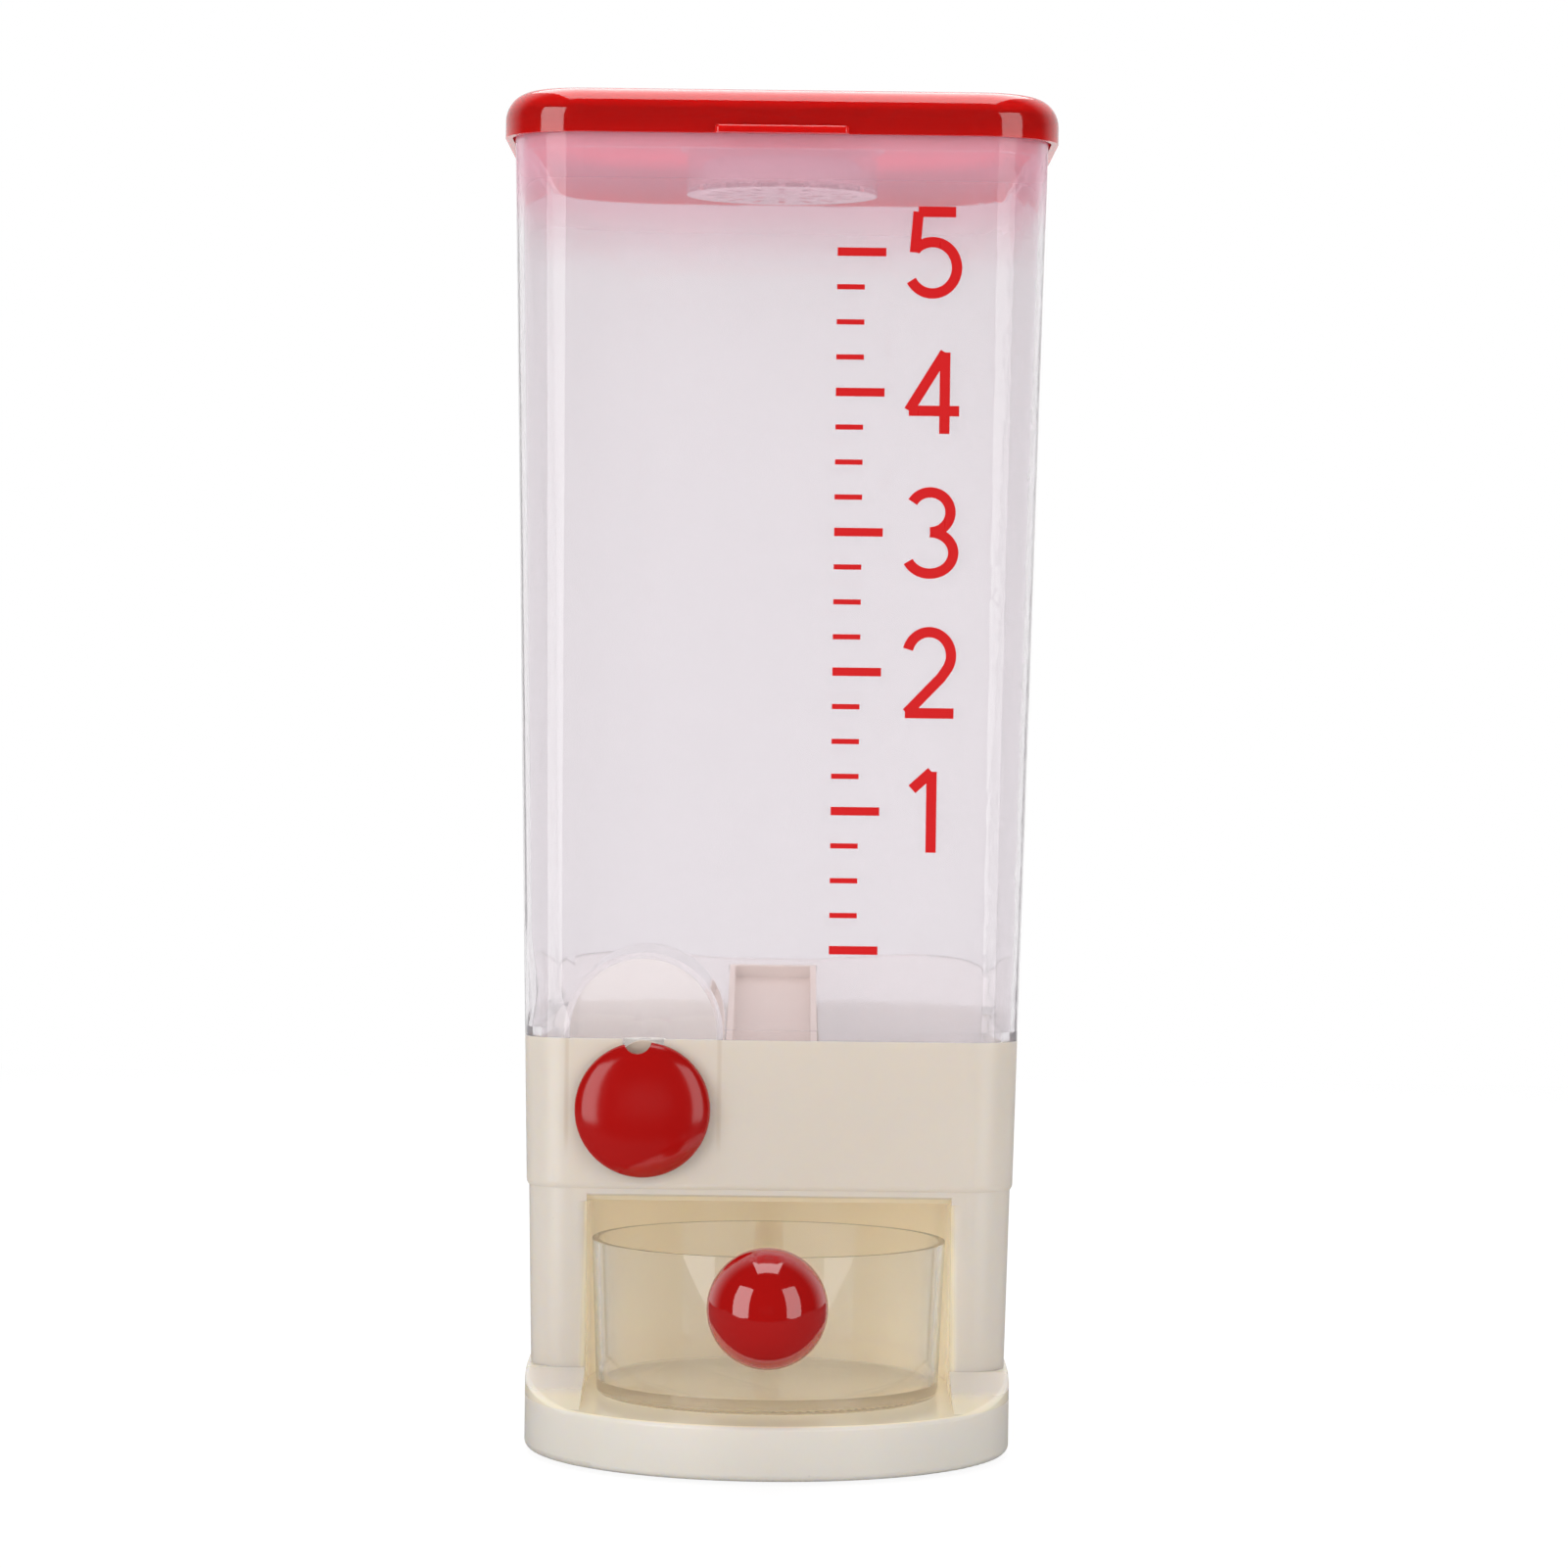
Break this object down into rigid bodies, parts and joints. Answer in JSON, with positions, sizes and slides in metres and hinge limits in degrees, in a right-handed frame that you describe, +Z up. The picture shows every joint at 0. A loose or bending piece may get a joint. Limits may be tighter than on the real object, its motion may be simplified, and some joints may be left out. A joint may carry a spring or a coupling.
{
  "type": "rice dispenser",
  "caption": "Tall clear rice hopper with a red hinged lid, a lifting knob that opens a gate, and a clear cup with a ball knob in a niche over a round-fronted base.",
  "frame": {"origin": "centre of the bounding box at the ground under the feet", "axes": "+Z up, -Y towards the front with the cup, +X to the right as seen from the front"},
  "size_m": [0.172, 0.2924, 0.4198],
  "materials": {
    "red_plastic": "glossy moulded red",
    "clear_plastic": "clear moulded, faint lavender tint",
    "cup_plastic": "clear moulded",
    "cream_plastic": "glossy moulded cream",
    "white_plastic": "plain moulded white",
    "silicone": "soft silicone",
    "foot_rubber": "matt rubber",
    "steel": "bright zinc plated",
    "sachet": "white fibre paper"
  },
  "bodies": {
    "dispenser": {"clear_body": "clear_plastic", "hinge_pin": "steel", "gate_tunnel": "clear_plastic", "hopper_floor": "clear_plastic", "outlet_chute": "cream_plastic", "housing": "cream_plastic", "outlet_spout": "cream_plastic", "base_tray": "cream_plastic", "base_plate": "white_plastic", "feet": "foot_rubber", "base_screws": "steel", "guide_rod": "steel", "rod_cap": "white_plastic", "return_spring": "steel"},
    "lid": {"lid_cover": "red_plastic", "lid_seal": "silicone"},
    "desiccant": {"desiccant_case": "clear_plastic", "desiccant_cap": "clear_plastic", "desiccant_pack": "sachet"},
    "knob": {"button_knob": "red_plastic", "knob_carriage": "white_plastic", "knob_screw": "steel", "gate_plate": "white_plastic", "gate_screws": "steel"},
    "measure": {"cup": "cup_plastic", "ball_knob": "red_plastic", "ball_screw": "steel"}
  },
  "joints": [
    {"name": "lid_hinge", "type": "hinge", "parent": "dispenser", "child": "lid", "pos_m": [0, 0.14216, 0.407], "axis": [-1, 0, 0], "range_deg": [0, 105]},
    {"name": "desiccant_twist", "type": "hinge", "parent": "lid", "child": "desiccant", "pos_m": [0, 0.03666, 0.405], "axis": [0, 0, 1], "range_deg": [0, 45]},
    {"name": "knob_lift", "type": "slide", "parent": "dispenser", "child": "knob", "axis": [0, 0, 1], "range_m": [0, 0.024], "stiffness_N_per_m": 150, "springref_m": -0.02, "deforming": ["return_spring"]},
    {"name": "cup_slide", "type": "slide", "parent": "dispenser", "child": "measure", "axis": [0, -1, 0], "range_m": [-0.0275, 0.14]}
  ]
}
